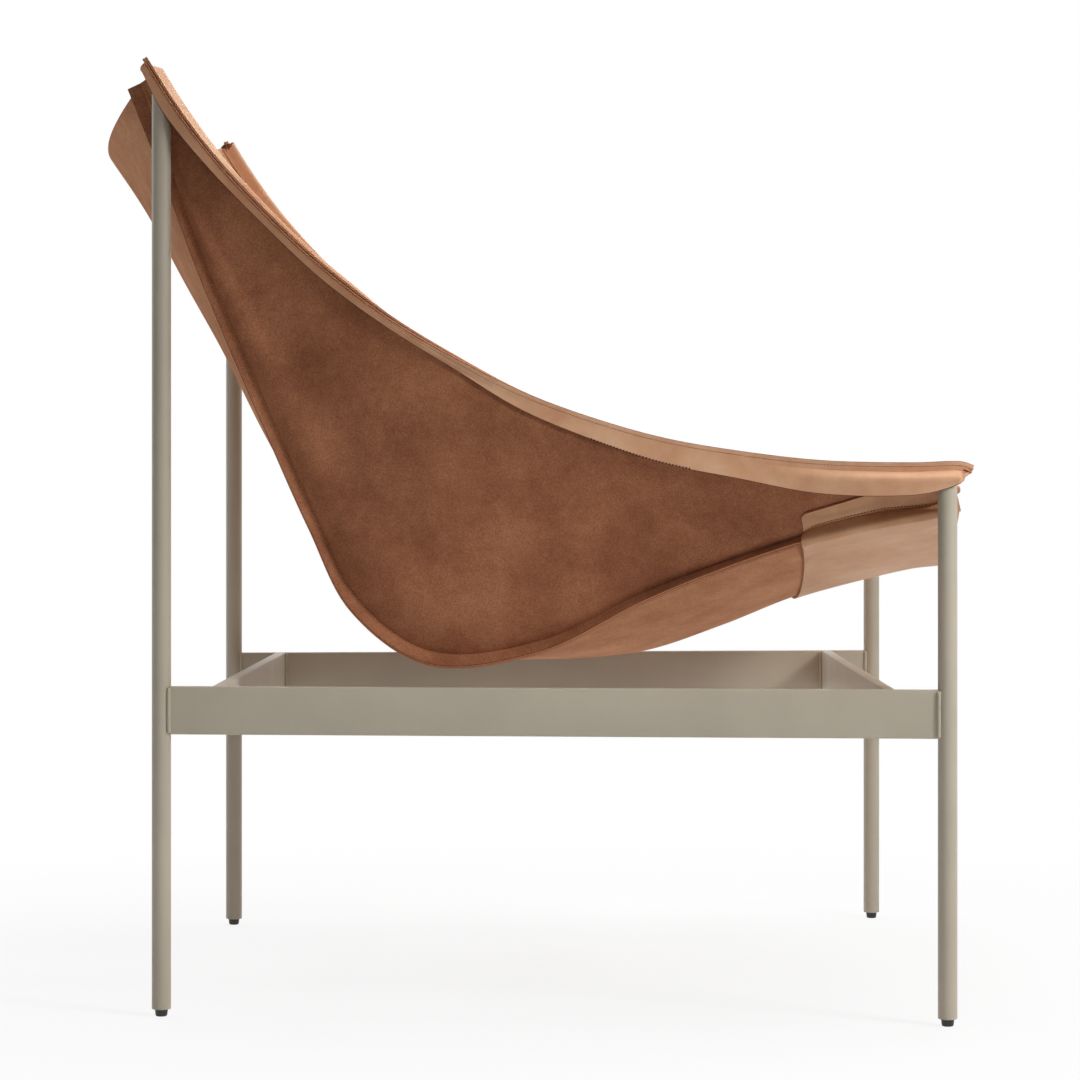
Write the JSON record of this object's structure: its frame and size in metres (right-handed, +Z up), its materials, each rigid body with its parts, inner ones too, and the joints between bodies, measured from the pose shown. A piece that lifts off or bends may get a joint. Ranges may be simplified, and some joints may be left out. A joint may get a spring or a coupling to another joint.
{
  "type": "leather sling lounge chair",
  "caption": "Low lounge chair: a leather sling seat hangs in sewn pockets on the upright posts of a welded round-tube frame, with flat rails near mid height and small plastic glides.",
  "frame": {"origin": "on the floor, under the middle of the chair's bounding box", "axes": "+Z up, +X to the front of the seat, +Y to the sitter's left"},
  "size_m": [0.7622, 0.6832, 0.8033],
  "materials": {
    "powder_coat": "warm grey powder coat, satin, fine texture",
    "glide": "matt black moulded plastic",
    "suede": "brown leather with a napped, suede-like outer face",
    "smooth_leather": "tan smooth-grain leather, soft sheen"
  },
  "bodies": {
    "frame": {"back_leg_right": "powder_coat", "back_foot_glide_right": "glide", "back_post_cap_right": "glide", "back_leg_weld_right_inner": "powder_coat", "back_leg_weld_right_outer": "powder_coat", "back_cross_weld_right_rear": "powder_coat", "back_cross_weld_right_front": "powder_coat", "back_leg_left": "powder_coat", "back_foot_glide_left": "glide", "back_post_cap_left": "glide", "back_leg_weld_left_inner": "powder_coat", "back_leg_weld_left_outer": "powder_coat", "back_cross_weld_left_rear": "powder_coat", "back_cross_weld_left_front": "powder_coat", "front_leg_right": "powder_coat", "front_foot_glide_right": "glide", "front_post_cap_right": "glide", "front_leg_weld_right_inner": "powder_coat", "front_leg_weld_right_outer": "powder_coat", "front_cross_weld_right_rear": "powder_coat", "front_cross_weld_right_front": "powder_coat", "front_leg_left": "powder_coat", "front_foot_glide_left": "glide", "front_post_cap_left": "glide", "front_leg_weld_left_inner": "powder_coat", "front_leg_weld_left_outer": "powder_coat", "front_cross_weld_left_rear": "powder_coat", "front_cross_weld_left_front": "powder_coat", "side_rail_right": "powder_coat", "side_rail_left": "powder_coat", "back_cross_rail": "powder_coat", "front_cross_rail": "powder_coat"},
    "sling": {"side_panel_right": "suede", "outer_band_right": "smooth_leather", "side_panel_left": "suede", "outer_band_left": "smooth_leather", "centre_panel": "suede", "front_cuff": "smooth_leather"}
  },
  "joints": [
    {"name": "sling_lift", "type": "slide", "parent": "frame", "child": "sling", "axis": [0, 0, 1], "range_m": [0, 0.5]}
  ]
}
